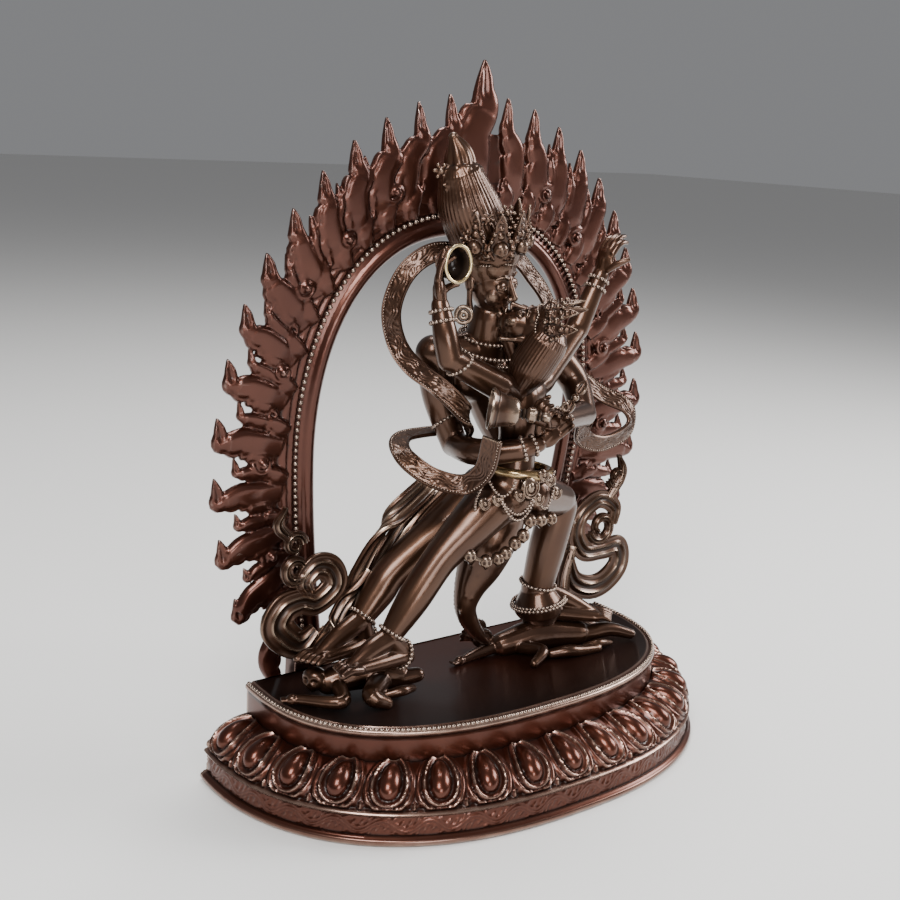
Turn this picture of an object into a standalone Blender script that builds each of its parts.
# Cast copper statue: an embracing pair on a lotus base inside a flame aureole.
# Lengths are millimetres times MM, so the objects are in metres. Z is up, and the
# figures face -Y. The origin is at the underside, near the middle of the base.
import math

import bmesh
import bpy
from mathutils import Matrix, Vector

MM = 0.001
GAP = 0.3                     # clearance between pieces that touch

# Lotus base
PLATE_HALF_WIDTH = 80.0       # top plate, middle to side
PLATE_FRONT = 56.3            # top plate, from the pair's axis to the front
BASE_BACK = 9.9               # the flat back, behind the pair's axis
BASE_HEIGHT = 31.1
FOOT_FLARE_SIDE = 17.4        # how far the foot stands out past the plate
FOOT_FLARE_FRONT = 18.8
DRUM_HEIGHT = 10.8            # plain wall under the plate
LEDGE_HEIGHT = 11.1           # ledge under the petals
BAND_TOP = 9.3                # engraved band
BAND_FOOT = 2.9
BEAD_RIM = 1.2                # half-round rim along the plate's edge
PETALS = 17
PETAL_RISE = 2.9
PETAL_GROOVE = 1.8
COLUMNS_PER_PETAL = 5
CORNER_ROUND_SIDE = 0.81      # exponents of the plan's rounded corners
CORNER_ROUND_FRONT = 0.81
FOOT_ROUND_FRONT = 0.95

# Flame aureole
ARCH_HALF_WIDTH = 62.5        # bead row
ARCH_CENTRE_Z = 112.8
ARCH_RISE = 76.6
ARCH_ROUND_SIDE = 0.81
ARCH_ROUND_TOP = 0.92
ARCH_WAIST = 0.15             # share by which the arch narrows at the plate
AUREOLE_FRONT = 16.1          # bead row's distance behind the pair's axis, at the plate
AUREOLE_LEAN = 4.74           # degrees, the top leans forward
ROLL_RADIUS = 2.6
ROLL_INSET = 4.9
BEAD_BAND = 1.6               # half width of the band that carries the bead row
BAND_SET_BACK = 1.6           # from the bead row's front to the plate's middle
WEB_THICKNESS = 2.8           # plate that the flames grow from
WEB_INSET = 3.4               # how far the plate runs in under the roll
WEB_STEPS = 48
FLAME_HALF_WIDTH = 92.0       # outline through the flame tips
FLAME_HALF_HEIGHT = 117.0
FLAME_TOP = 240.3             # tip of the crowning flame
FLAMES_PER_SIDE = 14
FLAME_CROWDING = 0.80         # below 1, the flames stand closer together towards the top
FLAME_LOWEST = -43.0          # degrees about the arch's middle
FLAME_ROOT_LOWEST = -50.0
FLAME_ROOT_HIGHEST = 86.0
FLAME_FILL = 0.50             # a flame's half width as a share of the distance to the next
FLAME_STAND = 9.0             # how far the tips stand out past the plate
FLAME_ROOT = 5.0              # the flames grow from this far outside the bead row
FLAME_TIP = 1.5
FLAME_FLATNESS = 0.34
CROWN_FLAME = (8.0, 8.2, 5.6, 3.0)    # half widths of the crowning flame, root to neck
CROWN_SWAY = ((0.35, -4.0), (0.62, -1.0), (0.82, 1.6))    # share of its height, shift sideways
FOOT_TONGUE = 19.0            # how far the aureole's feet reach down behind the base
FOOT_BLOCK_WIDTH = 14.0
FOOT_BLOCK_RISE = 8.0         # how far the feet's backing reaches up past the plate
FOOT_BLOCK_LAP = 3.0
AUREOLE_GRAIN = 0.7           # finest detail kept when the pieces are melted together
AUREOLE_FACES = 2800

# Embracing pair: lengths and places are thousandths of the pair's height
PAIR_HEIGHT = 186.0           # plate to the finial of the topknot
SHARE = PAIR_HEIGHT / 1000.0
POSE = {
    "finial": (-107, -118, 986), "dome": (-93, -118, 957), "knot_top": (-84, -118, 912),
    "knot_mid": (-68, -118, 872), "knot_base": (-40, -116, 826),
    "head": (-17, -116, 757), "jaw": (-8, -128, 715),
    "neck_top": (-2, -112, 672), "neck_base": (0, -98, 610),
    "chest": (24, -80, 560), "midriff": (62, -82, 480), "waist": (88, -91, 410),
    "pelvis": (80, -96, 332),
    "r_shoulder": (-94, -72, 602), "r_upper": (-80, -74, 520), "r_elbow": (-47, -85, 430),
    "r_fore": (-62, -170, 436), "r_wrap": (-20, -232, 448), "r_wrist": (16, -252, 461),
    "r_palm": (75, -258, 505), "r_hand": (104, -258, 538),
    "l_shoulder": (166, -104, 590), "l_upper": (200, -130, 540), "l_elbow": (180, -186, 488),
    "l_wrist": (72, -248, 504), "l_hand": (10, -262, 518),
    "bell_mouth": (-87, -263, 534), "bell_neck": (-36, -263, 525), "bell_end": (30, -263, 516),
    "vajra_a": (72, -282, 512), "vajra_b": (128, -276, 562),
    "hip_r": (30, -90, 330), "knee_r": (-169, -85, 203), "ankle_r": (-246, -91, 118),
    "heel_r": (-232, -88, 74), "toe_r": (-382, -123, 78),
    "hip_l": (120, -96, 325), "knee_l": (178, -141, 292), "shin_l": (164, -134, 208),
    "ankle_l": (149, -123, 123), "heel_l": (124, -118, 82), "ball_l": (253, -172, 66),
    "toe_l": (306, -190, 56),
    "c_pelvis": (12, -182, 350), "c_waist": (23, -182, 438), "c_ribs": (28, -180, 490),
    "c_chest": (26, -174, 535), "c_neck": (28, -161, 600), "c_head": (38, -190, 652),
    "c_chin": (12, -150, 645), "c_brow": (66, -224, 655), "c_crown": (125, -268, 662),
    "c_hair": (62, -205, 592),
    "cl_shoulder": (-36, -196, 560), "cl_elbow": (-138, -182, 612), "cl_wrist": (-149, -161, 700),
    "cl_palm": (-149, -145, 764), "cl_finger": (-145, -145, 836), "cup": (-122, -168, 775),
    "cup_back": (-122, -128, 772),
    "cr_shoulder": (92, -158, 555), "cr_elbow": (200, -128, 640), "cr_wrist": (251, -128, 744),
    "cr_palm": (270, -130, 800), "cr_finger": (312, -140, 850),
    "c_hip_l": (-28, -182, 336), "c_knee_l": (-138, -182, 247), "c_ankle_l": (-240, -177, 112),
    "c_heel_l": (-206, -177, 74), "c_toe_l": (-364, -198, 84),
    "c_hip_r": (60, -182, 345), "c_knee_r": (168, -150, 312), "c_calf_r": (150, -62, 300),
    "c_foot_r": (100, -34, 262),
    "skin_root": (40, -140, 330), "skin_top": (0, -150, 250), "skin_hip": (-12, -139, 200),
    "skin_mid": (-40, -139, 138), "skin_low": (-8, -128, 66), "skin_tip": (45, -118, 22),
}
CROWN_LEAVES = 5
CROWN_SPREAD = 40             # degrees between crown leaves
SCARF_WIDTH = 36
SCARF_THICKNESS = 1.7
SCARF_TURN = 0.35             # how far the scarf's band turns edge on to the aureole
SWIRL_PLANE = -59
SWIRL_FLATNESS = 0.38
SWIRL_TAPER = 0.6             # a band's width at its inner end, as a share of its outer end
GARLAND_HEADS = 7
BELT = ((36, -182, 396), (50, 46), 10)    # middle, half widths, thickness
CUTTER_DEPTH = 20.0
PAIR_GRAIN = 0.65
PAIR_FACES = 4150
SOFTENING = 2

# Colours
COPPER = (0.115, 0.045, 0.028)
COPPER_RED = (0.160, 0.055, 0.034)


def clear_scene():
    for item in list(bpy.data.objects):
        bpy.data.objects.remove(item, do_unlink=True)


def make_collection(name):
    collection = bpy.data.collections.new(name)
    bpy.context.scene.collection.children.link(collection)
    return collection


def make_material(name, colour, roughness):
    material = bpy.data.materials.new(name)
    material.use_nodes = True
    shader = material.node_tree.nodes["Principled BSDF"]
    shader.inputs["Base Color"].default_value = (*colour, 1.0)
    shader.inputs["Metallic"].default_value = 1.0
    shader.inputs["Roughness"].default_value = roughness
    return material


def signed_power(value, exponent):
    return math.copysign(abs(value) ** exponent, value)


def mix(a, b, share):
    return a + (b - a) * share


def evenly_spaced(points, count):
    """Read count + 1 points at equal distances along a polyline."""
    lengths = [0.0]
    for a, b in zip(points, points[1:]):
        lengths.append(lengths[-1] + (b - a).length)
    spaced = []
    segment = 0
    for step in range(count + 1):
        target = lengths[-1] * step / count
        while segment < len(points) - 2 and lengths[segment + 1] < target:
            segment += 1
        run = lengths[segment + 1] - lengths[segment]
        share = (target - lengths[segment]) / run
        spaced.append(points[segment].lerp(points[segment + 1], min(share, 1.0)))
    return spaced


def smooth_route(points, per_span=4):
    """Catmull-Rom points through a route of vectors that carry a radius as their last value."""
    ends = [points[0] * 2 - points[1]] + list(points) + [points[-1] * 2 - points[-2]]
    route = []
    for a, b, c, d in zip(ends, ends[1:], ends[2:], ends[3:]):
        for step in range(per_span):
            t = step / per_span
            route.append(0.5 * ((2 * b) + (c - a) * t + (2 * a - 5 * b + 4 * c - d) * t ** 2
                                + (3 * b - a - 3 * c + d) * t ** 3))
    route.append(points[-1].copy())
    return route


# Small solids that the castings are made of. Each returns a bmesh in millimetres.
def limb(points, radii, sides=10, per_span=4, cyclic=False):
    """A tube of changing radius along a smooth route, from a bevelled curve."""
    curve = bpy.data.curves.new("limb", "CURVE")
    curve.dimensions = "3D"
    curve.bevel_depth = 1.0
    curve.bevel_resolution = max(0, sides // 2 - 2)
    curve.use_fill_caps = True
    stations = [Vector((*p, r)) for p, r in zip(points, radii)]
    if cyclic:
        route = stations
    else:
        route = smooth_route(stations, per_span)
    spline = curve.splines.new("POLY")
    spline.points.add(len(route) - 1)
    for target, station in zip(spline.points, route):
        target.co = (*station[:3], 1.0)
        target.radius = max(station[3], 0.3)
    spline.use_cyclic_u = cyclic
    guide = bpy.data.objects.new("limb", curve)
    bpy.context.scene.collection.objects.link(guide)
    depsgraph = bpy.context.evaluated_depsgraph_get()
    mesh = bpy.data.meshes.new_from_object(guide.evaluated_get(depsgraph))
    bpy.data.objects.remove(guide, do_unlink=True)
    form = bmesh.new()
    form.from_mesh(mesh)
    bmesh.ops.remove_doubles(form, verts=form.verts, dist=0.0001)
    bmesh.ops.recalc_face_normals(form, faces=form.faces)
    bpy.data.meshes.remove(mesh)
    return form


def blob(centre, radii, turn=None):
    """An ellipsoid, turned by an optional matrix."""
    form = bmesh.new()
    bmesh.ops.create_icosphere(form, subdivisions=3, radius=1.0)
    placing = Matrix.Translation(centre) @ (turn or Matrix()) @ Matrix.Diagonal((*radii, 1.0))
    bmesh.ops.transform(form, matrix=placing, verts=form.verts)
    return form


def cone(base, tip, base_radius, tip_radius, sides=12):
    """A cone or cup between two points."""
    form = bmesh.new()
    axis = tip - base
    placing = Matrix.Translation((base + tip) / 2) @ axis.to_track_quat("Z", "Y").to_matrix().to_4x4()
    bmesh.ops.create_cone(form, cap_ends=True, segments=sides, radius1=base_radius,
                          radius2=tip_radius, depth=axis.length, matrix=placing)
    return form


def ribbon(points, widths, across, thickness):
    """A flat band along a smooth route; across holds the band's width direction at each point."""
    stations = [Vector((*p, w)) for p, w in zip(points, widths)]
    route = smooth_route(stations, 5)
    sides = smooth_route([Vector((*a, 0.0)) for a in across], 5)
    form = bmesh.new()
    rings = []
    for index, station in enumerate(route):
        here = Vector(station[:3])
        ahead = Vector(route[min(index + 1, len(route) - 1)][:3])
        behind = Vector(route[max(index - 1, 0)][:3])
        along = (ahead - behind).normalized()
        side = Vector(sides[index][:3])
        side = (side - along * side.dot(along)).normalized() * station[3] / 2
        lift = along.cross(side).normalized() * thickness / 2
        corners = (here - side - lift, here + side - lift, here + side + lift, here - side + lift)
        rings.append([form.verts.new(corner) for corner in corners])
    for first, second in zip(rings, rings[1:]):
        for k in range(4):
            form.faces.new((first[k], first[(k + 1) % 4], second[(k + 1) % 4], second[k]))
    form.faces.new(rings[0])
    form.faces.new(rings[-1])
    bmesh.ops.recalc_face_normals(form, faces=form.faces)
    return form


def flatten(form, factor):
    """Press a form flat in Y, about its own plane."""
    middle = sum(v.co.y for v in form.verts) / len(form.verts)
    for vertex in form.verts:
        vertex.co.y = middle + (vertex.co.y - middle) * factor
    return form


def join_forms(forms):
    whole = bmesh.new()
    for form in forms:
        mesh = bpy.data.meshes.new("form")
        form.to_mesh(mesh)
        form.free()
        whole.from_mesh(mesh)
        bpy.data.meshes.remove(mesh)
    return whole


def largest_shell(form):
    """Keep the outer skin, and drop loose crumbs and closed bubbles inside it."""
    remaining = set(form.verts)
    shells = []
    while remaining:
        stack = [remaining.pop()]
        shell = set(stack)
        while stack:
            for edge in stack.pop().link_edges:
                for vertex in edge.verts:
                    if vertex in remaining:
                        remaining.discard(vertex)
                        shell.add(vertex)
                        stack.append(vertex)
        shells.append(shell)
    shells.sort(key=len, reverse=True)
    dropped = [v for shell in shells[1:] for v in shell]
    bmesh.ops.delete(form, geom=dropped, context="VERTS")


def object_from_form(name, form, material, collection):
    mesh = bpy.data.meshes.new(name)
    bmesh.ops.scale(form, vec=(MM, MM, MM), verts=form.verts)
    form.to_mesh(mesh)
    form.free()
    mesh.materials.append(material)
    item = bpy.data.objects.new(name, mesh)
    collection.objects.link(item)
    return item


def bake_modifiers(item):
    """Replace an object's mesh by its evaluated one."""
    depsgraph = bpy.context.evaluated_depsgraph_get()
    mesh = bpy.data.meshes.new_from_object(item.evaluated_get(depsgraph))
    item.modifiers.clear()
    item.data = mesh


def fuse(name, forms, grain, faces, material, collection):
    """Melt overlapping forms into one closed skin with about the given number of faces."""
    item = object_from_form(name, join_forms(forms), material, collection)
    remesh = item.modifiers.new("fuse", "REMESH")
    remesh.mode = "VOXEL"
    remesh.voxel_size = grain * MM
    smooth = item.modifiers.new("soften", "SMOOTH")
    smooth.factor = 0.5
    smooth.iterations = SOFTENING
    bake_modifiers(item)
    skin = bmesh.new()
    skin.from_mesh(item.data)
    largest_shell(skin)
    bmesh.ops.triangulate(skin, faces=skin.faces)
    count = len(skin.faces)
    skin.to_mesh(item.data)
    skin.free()
    thin = item.modifiers.new("thin_out", "DECIMATE")
    thin.ratio = min(1.0, faces / count)
    bake_modifiers(item)
    return item


# Lotus base
def plan_outline(half_width, front, side_exponent, front_exponent, count):
    """The base's plan: a rounded front, cut off by the flat back."""
    reach = math.asin(min(1.0, (BASE_BACK / front) ** (1.0 / front_exponent)))
    dense = []
    steps = 720
    for step in range(steps + 1):
        angle = -reach + (math.pi + 2 * reach) * step / steps
        x = half_width * signed_power(math.cos(angle), side_exponent)
        y = -front * signed_power(math.sin(angle), front_exponent)
        dense.append(Vector((x, min(y, BASE_BACK), 0.0)))
    dense[0].y = BASE_BACK
    dense[-1].y = BASE_BACK
    return evenly_spaced(dense, count)


def petal_relief(across, down):
    """Height of a petal's skin: across runs -1..1 over one petal, down 0..1 from drum to ledge."""
    taper = 0.80 + 0.20 * math.sin(math.pi * down)
    spread = min(1.0, abs(across) / taper)
    body = math.cos(spread * math.pi / 2) ** 0.7
    swell = math.sin(math.pi * min(1.0, 0.12 + down * 0.86)) ** 0.6
    lip = 0.55 * max(0.0, down - 0.8) / 0.2
    return (PETAL_RISE * body + PETAL_GROOVE * (body - 1.0)) * (swell + lip * body)


def make_base(material, collection):
    columns = PETALS * COLUMNS_PER_PETAL
    top = plan_outline(PLATE_HALF_WIDTH, PLATE_FRONT, CORNER_ROUND_SIDE, CORNER_ROUND_FRONT, columns)
    foot = plan_outline(PLATE_HALF_WIDTH + FOOT_FLARE_SIDE, PLATE_FRONT + FOOT_FLARE_FRONT,
                        CORNER_ROUND_SIDE, FOOT_ROUND_FRONT, columns)
    drum_foot = BASE_HEIGHT - DRUM_HEIGHT
    rows = [
        (-0.10, BASE_HEIGHT), (0.0, BASE_HEIGHT),
        (BEAD_RIM / FOOT_FLARE_SIDE, BASE_HEIGHT - BEAD_RIM), (0.0, BASE_HEIGHT - 2 * BEAD_RIM),
        (0.0, drum_foot),
    ]
    petal_rows = 5
    petal_start = len(rows)
    for k in range(petal_rows):
        down = (k + 0.5) / petal_rows
        flare = 0.82 * math.sin(down * math.pi / 2)
        rows.append((flare, mix(drum_foot, LEDGE_HEIGHT + 0.3, 1 - math.cos(down * math.pi / 2))))
    petal_end = len(rows)
    rows += [
        (0.86, LEDGE_HEIGHT), (0.86, BAND_TOP), (0.80, BAND_TOP), (0.86, BAND_FOOT),
        (0.97, BAND_FOOT - 0.4), (1.0, BAND_FOOT / 2), (0.97, 0.3), (0.94, 0.0),
    ]
    form = bmesh.new()
    rings = []
    for row, (flare, height) in enumerate(rows):
        ring = []
        for column in range(columns + 1):
            point = top[column].lerp(foot[column], flare)
            lift = 0.0
            if petal_start <= row < petal_end:
                down = (row - petal_start + 0.5) / petal_rows
                across = 2 * ((column % COLUMNS_PER_PETAL) / COLUMNS_PER_PETAL) - 1
                lift = petal_relief(across, down)
            outward = (foot[column] - top[column]).normalized()
            tilt = math.radians(42)
            place = point + outward * lift * math.cos(tilt)
            place.y = min(place.y, BASE_BACK)
            place.z = height + lift * math.sin(tilt) * 0.6
            ring.append(form.verts.new(place))
        for corner in (0, -1):
            ring[corner].co.y = BASE_BACK
        rings.append(ring)
    count = columns + 1
    for upper, lower in zip(rings, rings[1:]):
        for k in range(count):
            form.faces.new((upper[k], upper[(k + 1) % count], lower[(k + 1) % count], lower[k]))
    form.faces.new(rings[0])
    form.faces.new(rings[-1])
    bmesh.ops.recalc_face_normals(form, faces=form.faces)
    return object_from_form("lotus_base", form, material, collection)


# Flame aureole, drawn in its own plane and then leaned
def arch_point(angle, outset):
    """A point of the arch at an angle about its centre, moved outwards by outset."""
    def bead_row(a):
        x = ARCH_HALF_WIDTH * signed_power(math.cos(a), ARCH_ROUND_SIDE)
        z = ARCH_CENTRE_Z + ARCH_RISE * signed_power(math.sin(a), ARCH_ROUND_TOP)
        if math.sin(a) < 0:
            drop = ARCH_CENTRE_Z - z
            depth = min(drop / (ARCH_CENTRE_Z - BASE_HEIGHT), 1.4)
            x = math.copysign(ARCH_HALF_WIDTH * (1 - ARCH_WAIST * depth ** 1.5), math.cos(a))
        return Vector((x, 0.0, z))
    here = bead_row(angle)
    along = (bead_row(angle + 0.02) - bead_row(angle - 0.02)).normalized()
    outward = Vector((along.z, 0.0, -along.x))
    return here + outward * outset


def arch_route(outset, lowest, steps=40):
    """The arch from its right foot over the top to its left foot."""
    below = math.asin(min(1.0, ((ARCH_CENTRE_Z - lowest) / ARCH_RISE) ** (1 / ARCH_ROUND_TOP) * 0.999))
    return [arch_point(mix(-below, math.pi + below, k / steps), outset) for k in range(steps + 1)]


def flame_tip(angle):
    """A point of the outline that runs through the flame tips."""
    return Vector((FLAME_HALF_WIDTH * math.cos(angle), 0.0,
                   ARCH_CENTRE_Z + FLAME_HALF_HEIGHT * math.sin(angle)))


def flame_place(share):
    """Root and tip of the flame at a share of the way up one side."""
    share = share ** FLAME_CROWDING
    root_angle = mix(FLAME_ROOT_LOWEST, FLAME_ROOT_HIGHEST, share)
    return (arch_point(math.radians(root_angle), FLAME_ROOT),
            flame_tip(math.radians(mix(FLAME_LOWEST, 90.0, share))))


def web_form():
    """The plate that the flames grow from, from under the roll to just short of their tips."""
    rings = []
    form = bmesh.new()
    for k in range(WEB_STEPS + 1):
        along = 2 * k / WEB_STEPS - 1
        root, tip = flame_place(1.0 - abs(along))
        side = 1.0 if along < 0 else -1.0
        inner = root.lerp(tip, -(FLAME_ROOT + WEB_INSET) / (tip - root).length)
        outer = root.lerp(tip, max(0.3, 1.0 - FLAME_STAND / (tip - root).length))
        ring = []
        for edge, depth in ((inner, -1), (outer, -1), (outer, 1), (inner, 1)):
            place = (edge.x * side, depth * WEB_THICKNESS / 2, edge.z)
            ring.append(form.verts.new(place))
        rings.append(ring)
    for first, second in zip(rings, rings[1:]):
        for k in range(4):
            form.faces.new((first[k], first[(k + 1) % 4], second[(k + 1) % 4], second[k]))
    form.faces.new(rings[0])
    form.faces.new(rings[-1])
    bmesh.ops.recalc_face_normals(form, faces=form.faces)
    return form


def flame(tip, root, body, side):
    """One S-shaped tongue of fire that swells outwards and flicks up at its tip, and its spur."""
    swell = Vector((side * body * 0.12, 0.0, -body * 0.42))
    middle = root.lerp(tip, 0.50) + swell
    neck = tip.lerp(root, 0.22) + swell * 0.5
    notch = tip.lerp(root, 0.36) + Vector((-body * 0.42, 0.0, -body * 0.12))
    tongue = limb([root, middle, neck, tip], [body * 0.9, body * 0.92, body * 0.44, FLAME_TIP], 10, 4)
    spur = limb([root, middle, notch], [body * 0.8, body * 0.7, FLAME_TIP * 1.8], 8, 3)
    return [flatten(tongue, FLAME_FLATNESS), flatten(spur, FLAME_FLATNESS)]


def flame_forms():
    forms = []
    for side in (1, -1):
        mirror = Vector((side, 1.0, 1.0))
        for index in range(FLAMES_PER_SIDE):
            root, tip = flame_place(index / FLAMES_PER_SIDE)
            following = flame_place((index + 1) / FLAMES_PER_SIDE)[1]
            body = (following - tip).length * FLAME_FILL
            forms += flame(tip * mirror, root * mirror, body, side)
    crown_root = arch_point(math.pi / 2, FLAME_ROOT)
    sway = [crown_root]
    for share, shift in CROWN_SWAY:
        sway.append(Vector((shift, 0.0, mix(crown_root.z, FLAME_TOP, share))))
    sway.append(Vector((0.0, 0.0, FLAME_TOP)))
    forms.append(flatten(limb(sway, [*CROWN_FLAME, FLAME_TIP], 10, 4), FLAME_FLATNESS))
    return forms


def foot_block(side, low):
    """The backing that holds one foot of the aureole off the base's flat back."""
    foot = abs(arch_point(math.radians(-89), 0.0).x)
    top = BASE_HEIGHT + FOOT_BLOCK_RISE
    depth = AUREOLE_FRONT - BASE_BACK - GAP + FOOT_BLOCK_LAP
    block = bmesh.new()
    bmesh.ops.create_cube(block, size=1.0)
    placing = Matrix.Translation((side * foot, FOOT_BLOCK_LAP - depth / 2, (low + top) / 2))
    placing = placing @ Matrix.Diagonal((FOOT_BLOCK_WIDTH, depth, top - low, 1.0))
    bmesh.ops.transform(block, matrix=placing, verts=block.verts)
    return block


def make_aureole(material, collection):
    roll_low = BASE_HEIGHT - FOOT_TONGUE
    roll = arch_route(-ROLL_INSET, roll_low)
    forms = [limb(roll, [ROLL_RADIUS] * len(roll), 12, 1), web_form()]
    beads = arch_route(0.0, BASE_HEIGHT + FOOT_BLOCK_RISE)
    forms.append(limb(beads, [BEAD_BAND] * len(beads), 8, 1))
    forms += flame_forms() + [foot_block(-1, roll_low), foot_block(1, roll_low)]
    lean = math.tan(math.radians(AUREOLE_LEAN))
    for form in forms:
        for vertex in form.verts:
            rise = max(0.0, vertex.co.z - BASE_HEIGHT)
            vertex.co.y += AUREOLE_FRONT + BAND_SET_BACK - lean * rise
    return fuse("flame_aureole", forms, AUREOLE_GRAIN, AUREOLE_FACES, material, collection)


# Embracing pair
def spot(x, y, z):
    """A place given in thousandths of the pair's height: y from the flat back, z from the plate."""
    return Vector((x * SHARE, BASE_BACK + y * SHARE, BASE_HEIGHT + GAP + z * SHARE))


def joint(name):
    return spot(*POSE[name])


def chain(names, radii, sides=12):
    return limb([joint(n) for n in names], [r * SHARE for r in radii], sides)


def strand(points, radii, flatness=1.0):
    return flatten(limb([spot(*p) for p in points], [r * SHARE for r in radii], 10), flatness)


def lump(name, radii, turn=None):
    return blob(joint(name), [r * SHARE for r in radii], turn)


def hero_forms():
    """The standing figure, with the bell and the thunderbolt in the crossed hands."""
    forms = [
        chain(("pelvis", "waist", "midriff", "chest"), (58, 48, 56, 62)),
        lump("chest", (86, 52, 62)),
        lump("pelvis", (62, 54, 56)),
        chain(("r_shoulder", "neck_base", "l_shoulder"), (34, 34, 32)),
        chain(("chest", "neck_base", "neck_top"), (44, 40, 35)),
        lump("head", (50, 60, 68)),
        lump("jaw", (36, 50, 42)),
        chain(("knot_base", "knot_mid", "knot_top"), (50, 47, 36)),
        chain(("knot_top", "dome", "finial"), (24, 21, 6)),
        chain(("r_shoulder", "r_upper", "r_elbow"), (33, 29, 25)),
        chain(("r_elbow", "r_fore", "r_wrap", "r_wrist"), (25, 24, 21, 17)),
        chain(("r_wrist", "r_palm", "r_hand"), (17, 21, 16)),
        chain(("l_shoulder", "l_upper", "l_elbow"), (33, 28, 24)),
        chain(("l_elbow", "l_wrist", "l_hand"), (23, 18, 22)),
        chain(("vajra_a", "vajra_b"), (10, 10)),
        chain(("hip_r", "knee_r", "ankle_r"), (50, 33, 22)),
        chain(("ankle_r", "heel_r", "toe_r"), (22, 22, 17)),
        chain(("hip_l", "knee_l"), (50, 35)),
        chain(("knee_l", "shin_l", "ankle_l"), (33, 30, 26)),
        chain(("ankle_l", "heel_l"), (22, 22)),
        chain(("heel_l", "ball_l", "toe_l"), (23, 19, 13)),
    ]
    forms.append(cone(joint("bell_mouth"), joint("bell_neck"), 38 * SHARE, 24 * SHARE, 16))
    forms.append(chain(("bell_neck", "bell_end"), (22, 12)))
    forms += crown_forms(joint("head"), (56, 66), 34, 98)
    forms.append(ring_form(spot(*BELT[0]), BELT[1], BELT[2], Matrix.Rotation(math.radians(6), 4, "Y")))
    return forms


def crown_forms(head, radii, foot, height):
    """Five crown leaves standing round a brow that faces -Y, and the band they stand on."""
    forms = [ring_form(head + Vector((0.0, 0.0, foot * SHARE)), radii, 9, Matrix())]
    for k in range(CROWN_LEAVES):
        angle = math.radians(-90 + (k - (CROWN_LEAVES - 1) / 2) * CROWN_SPREAD)
        outward = Vector((math.cos(angle) * radii[0], math.sin(angle) * radii[1], 0.0)) * SHARE
        base = head + outward + Vector((0.0, 0.0, foot * SHARE))
        tip = head + outward * 1.22 + Vector((0.0, 0.0, (foot + height) * SHARE))
        leaf = [base, base.lerp(tip, 0.4), base.lerp(tip, 0.75), tip]
        forms.append(limb(leaf, [r * SHARE for r in (14, 21, 14, 4)], 8, 3))
    return forms


def ring_form(centre, radii, thickness, turn):
    """A closed ring about a centre, lying flat before its turn."""
    route = []
    steps = 24
    for k in range(steps):
        angle = math.tau * k / steps
        offset = Vector((math.cos(angle) * radii[0], math.sin(angle) * radii[1], 0.0)) * SHARE
        route.append(centre + turn @ offset)
    return limb(route, [thickness * SHARE] * steps, 8, 1, cyclic=True)


def consort_forms():
    """The embracing figure, her head thrown back and a skull cup raised in her left hand."""
    face_turn = (joint("c_brow") - joint("c_chin")).to_track_quat("Z", "Y").to_matrix().to_4x4()
    forms = [
        chain(("c_pelvis", "c_waist", "c_ribs", "c_chest"), (54, 36, 42, 44)),
        lump("c_chest", (64, 40, 44)),
        lump("c_pelvis", (66, 50, 52)),
        chain(("cl_shoulder", "c_chest", "cr_shoulder"), (28, 30, 28)),
        chain(("c_chest", "c_neck", "c_chin"), (26, 22, 20)),
        lump("c_head", (40, 42, 50), face_turn),
        chain(("c_brow", "c_crown"), (40, 12)),
        chain(("c_head", "c_hair", "c_chest"), (40, 44, 30)),
        chain(("cl_shoulder", "cl_elbow"), (27, 22)),
        chain(("cl_elbow", "cl_wrist"), (23, 17)),
        chain(("cl_wrist", "cl_palm", "cl_finger"), (17, 20, 8)),
        chain(("cr_shoulder", "cr_elbow"), (27, 22)),
        chain(("cr_elbow", "cr_wrist"), (22, 16)),
        chain(("cr_wrist", "cr_palm", "cr_finger"), (16, 21, 8)),
        chain(("c_hip_l", "c_knee_l", "c_ankle_l"), (46, 32, 21)),
        chain(("c_ankle_l", "c_heel_l", "c_toe_l"), (21, 20, 14)),
        chain(("c_hip_r", "c_knee_r"), (44, 31)),
        chain(("c_knee_r", "c_calf_r", "c_foot_r"), (30, 24, 18)),
        cone(joint("cup"), joint("cup_back"), 39 * SHARE, 16 * SHARE, 16),
        chain(("skin_root", "skin_top", "skin_hip", "skin_mid", "skin_low", "skin_tip"),
              (52, 52, 44, 26, 18, 6)),
    ]
    return forms


def across_from_middle(route):
    """Directions across a round loop: away from its middle."""
    middle = sum(route, Vector()) / len(route)
    return [(place - middle).normalized() for place in route]


def across_by_travel(route):
    """Directions across a winding loop: square to its travel, in the aureole's direction."""
    directions = []
    for index in range(len(route)):
        travel = route[min(index + 1, len(route) - 1)] - route[max(index - 1, 0)]
        directions.append(Vector((-travel.z, 0.0, travel.x)).normalized())
    return directions


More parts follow.
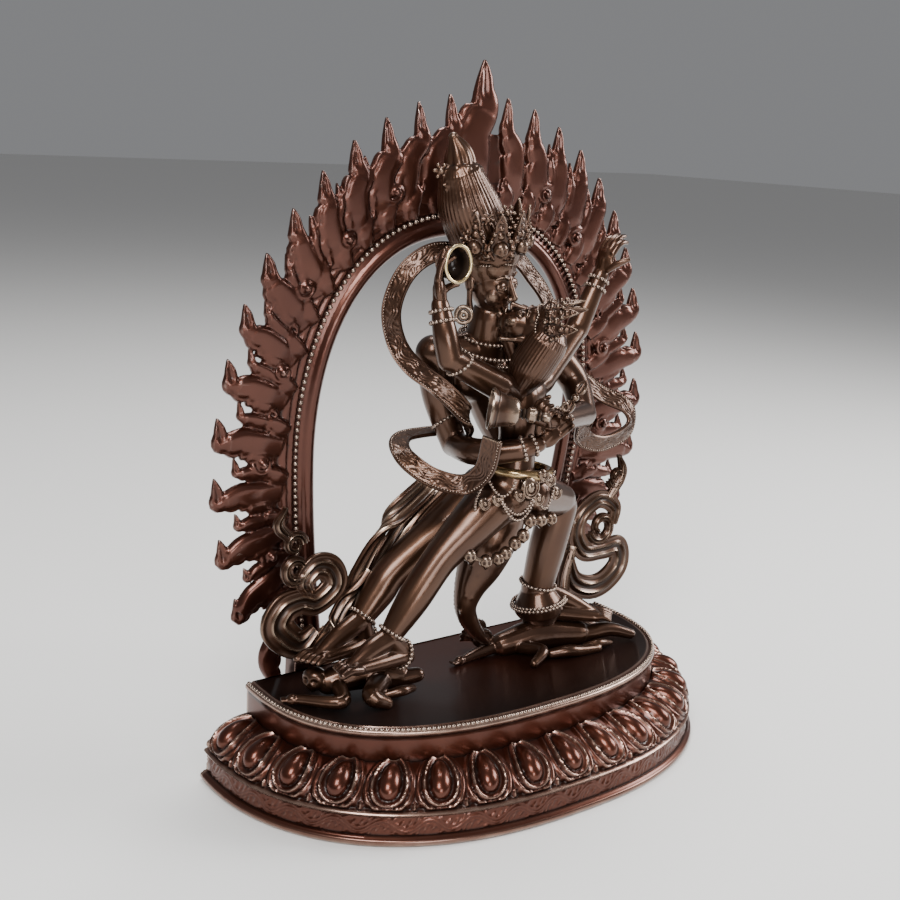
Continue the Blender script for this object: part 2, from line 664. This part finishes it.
def drapery_forms():
    """The flying scarf in three loops, and the skirt's strands behind the legs."""
    back = Vector((0.0, 1.0, 0.0))
    loops = [
        # left upper loop, from behind the head round to the inside of the arm
        (across_from_middle, [(-20, -72, 782), (-92, -56, 782), (-141, -43, 746), (-164, -34, 683), (-158, -42, 624),
         (-146, -78, 584), (-118, -128, 552), (-70, -150, 500), (-46, -120, 462)]),
        # left lower loop, out behind the elbow and up over the forearm
        (across_from_middle, [(-38, -44, 448), (-144, -60, 448), (-184, -118, 432), (-161, -172, 402), (-113, -208, 390),
         (-91, -236, 421), (-89, -252, 480)]),
        # right loop, from behind the head down behind the shoulder
        (across_by_travel, [(-10, -72, 782), (90, -54, 774), (150, -44, 732), (190, -42, 690), (215, -50, 630),
         (240, -60, 560), (315, -80, 500), (375, -104, 468), (372, -116, 425), (298, -124, 404),
         (236, -130, 424), (214, -158, 470)]),
    ]
    forms = []
    for directions, points in loops:
        route = [spot(*p) for p in points]
        across = [direction + back * SCARF_TURN for direction in directions(route)]
        forms.append(ribbon(route, [SCARF_WIDTH * SHARE] * len(route), across, SCARF_THICKNESS))
    forms.append(strand([(-78, -50, 345), (-163, -44, 276), (-215, -42, 196), (-245, -46, 124),
                         (-293, -52, 80)], [22] * 5, 0.6))
    forms.append(strand([(-40, -60, 340), (-130, -52, 270), (-190, -50, 190), (-235, -52, 120),
                         (-270, -56, 90)], [22] * 5, 0.6))
    return forms


def swirl(x, z, start_radius, end_radius, turns, start, width):
    """A flat band wound into a spiral in the aureole's direction, its sizes in thousandths."""
    centre = spot(x, SWIRL_PLANE, z)
    steps = int(12 * abs(turns)) + 2
    points = []
    radii = []
    for k in range(steps + 1):
        share = k / steps
        angle = math.radians(start) + turns * math.tau * share
        radius = mix(start_radius, end_radius, share) * SHARE
        points.append(centre + Vector((math.cos(angle) * radius, 0.0, math.sin(angle) * radius)))
        radii.append(mix(width, width * SWIRL_TAPER, share) * SHARE)
    return flatten(limb(points, radii, 8, 2), SWIRL_FLATNESS)


def swirl_forms():
    """The skirt's flying ends, wound into spirals beside the legs."""
    plane = SWIRL_PLANE
    return [
        # beside the straight legs
        strand([(-322, plane, 104), (-357, plane, 82), (-399, plane, 120), (-386, plane, 154),
                (-353, plane, 164), (-320, plane, 157), (-284, plane, 184), (-294, plane, 216),
                (-322, plane, 224), (-346, plane, 200), (-337, plane, 178)],
               (14, 28, 33, 31, 26, 25, 27, 27, 25, 20, 12), SWIRL_FLATNESS),
        swirl(-364, 226, 22, 16, -0.9, -20, 14),
        swirl(-368, 274, 17, 9, 1.0, 0, 11),
        strand([(-375, plane, 285), (-398, plane, 312), (-386, plane, 345)], (12, 12, 8), 0.6),
        strand([(-245, -52, 150), (-290, plane, 70), (-340, plane, 62)], (17, 17, 15), 0.6),
        # beside the bent leg
        strand([(402, plane, 202), (404, plane, 240), (360, plane, 262), (314, plane, 236),
                (302, plane, 192), (330, plane, 152), (380, plane, 148), (424, plane, 148),
                (430, plane, 106), (394, plane, 74), (350, plane, 68), (306, plane, 88),
                (288, plane, 126), (284, plane, 164)],
               (14, 18, 20, 22, 23, 22, 22, 25, 29, 29, 27, 24, 18, 12), SWIRL_FLATNESS),
        swirl(370, 200, 32, 16, 1.0, 200, 13),
        swirl(404, 306, 20, 9, 1.0, 200, 12),
        strand([(388, plane, 270), (420, plane, 318), (408, plane, 352)], (12, 12, 8), 0.6),
        strand([(190, -110, 280), (238, -84, 262), (290, plane, 225)], (18, 18, 16), 0.6),
        strand([(290, plane, 160), (272, -66, 100), (262, -84, 60)], (14, 14, 12), 0.6),
    ]


def trampled_forms():
    """The two figures lying under the pair's feet."""
    return [
        # body, head, arm and legs under the straight legs
        strand([(-322, -112, 22), (-260, -128, 34), (-205, -148, 26)], (26, 36, 30)),
        strand([(-338, -100, 26), (-350, -98, 26)], (25, 20)),
        strand([(-312, -120, 22), (-335, -182, 16), (-400, -122, 12)], (15, 13, 10)),
        strand([(-232, -150, 22), (-290, -206, 26), (-262, -214, 8)], (22, 18, 14)),
        strand([(-215, -155, 18), (-170, -168, 24)], (20, 16)),
        # body, arm, head, legs and cloth under the bent leg
        strand([(70, -122, 18), (150, -138, 30), (230, -160, 24)], (26, 36, 28)),
        strand([(80, -120, 16), (20, -118, 8), (-32, -122, 4)], (14, 12, 9)),
        strand([(52, -96, 20), (40, -84, 22)], (24, 20)),
        strand([(235, -165, 20), (300, -178, 24), (350, -200, 12)], (20, 16, 13)),
        strand([(140, -190, 8), (200, -208, 10), (245, -212, 6)], (16, 14, 10)),
    ]


def apron_forms():
    """The beaded swags under the belt, and the garland of small heads that hangs below them."""
    forms = []
    for swag in ((-10, 60), (60, 130)):
        route = []
        for k in range(7):
            share = k / 6
            x = mix(swag[0], swag[1], share)
            route.append((x, -200 + 18 * abs(share - 0.5), 362 - 42 * math.sin(math.pi * share)))
        forms.append(strand(route, [10] * 7))
    for k in range(GARLAND_HEADS):
        share = k / (GARLAND_HEADS - 1)
        place = spot(mix(-70, 140, share), -196 + 30 * share, 262 - 30 * math.sin(math.pi * share))
        forms.append(blob(place, [15 * SHARE, 15 * SHARE, 19 * SHARE]))
    return forms


def make_pair(material, collection, cutters):
    forms = hero_forms() + consort_forms() + apron_forms()
    forms += drapery_forms() + swirl_forms() + trampled_forms()
    item = fuse("embracing_pair", forms, PAIR_GRAIN, PAIR_FACES, material, collection)
    form = bmesh.new()
    bmesh.ops.create_cube(form, size=1.0)
    placing = Matrix.Translation((0.0, 0.0, BASE_HEIGHT + GAP - CUTTER_DEPTH / 2))
    width = PLATE_HALF_WIDTH * 4
    placing = placing @ Matrix.Diagonal((width, width, CUTTER_DEPTH, 1.0))
    bmesh.ops.transform(form, matrix=placing, verts=form.verts)
    cutter = object_from_form("plate_clearance", form, material, cutters)
    cutter.hide_render = True
    cutter.display_type = "WIRE"
    cut = item.modifiers.new("flat_underside", "BOOLEAN")
    cut.operation = "DIFFERENCE"
    cut.solver = "EXACT"
    cut.object = cutter
    return item


def main():
    clear_scene()
    statue = make_collection("chakrasamvara_statue")
    cutters = make_collection("cutters")
    copper = make_material("oxidised_copper", COPPER, 0.34)
    copper_red = make_material("oxidised_copper_red", COPPER_RED, 0.38)
    items = [
        make_base(copper_red, statue),
        make_aureole(copper_red, statue),
        make_pair(copper, statue, cutters),
    ]
    for item in items:
        item.data.shade_smooth()
        item.data.set_sharp_from_angle(angle=math.radians(38))


main()
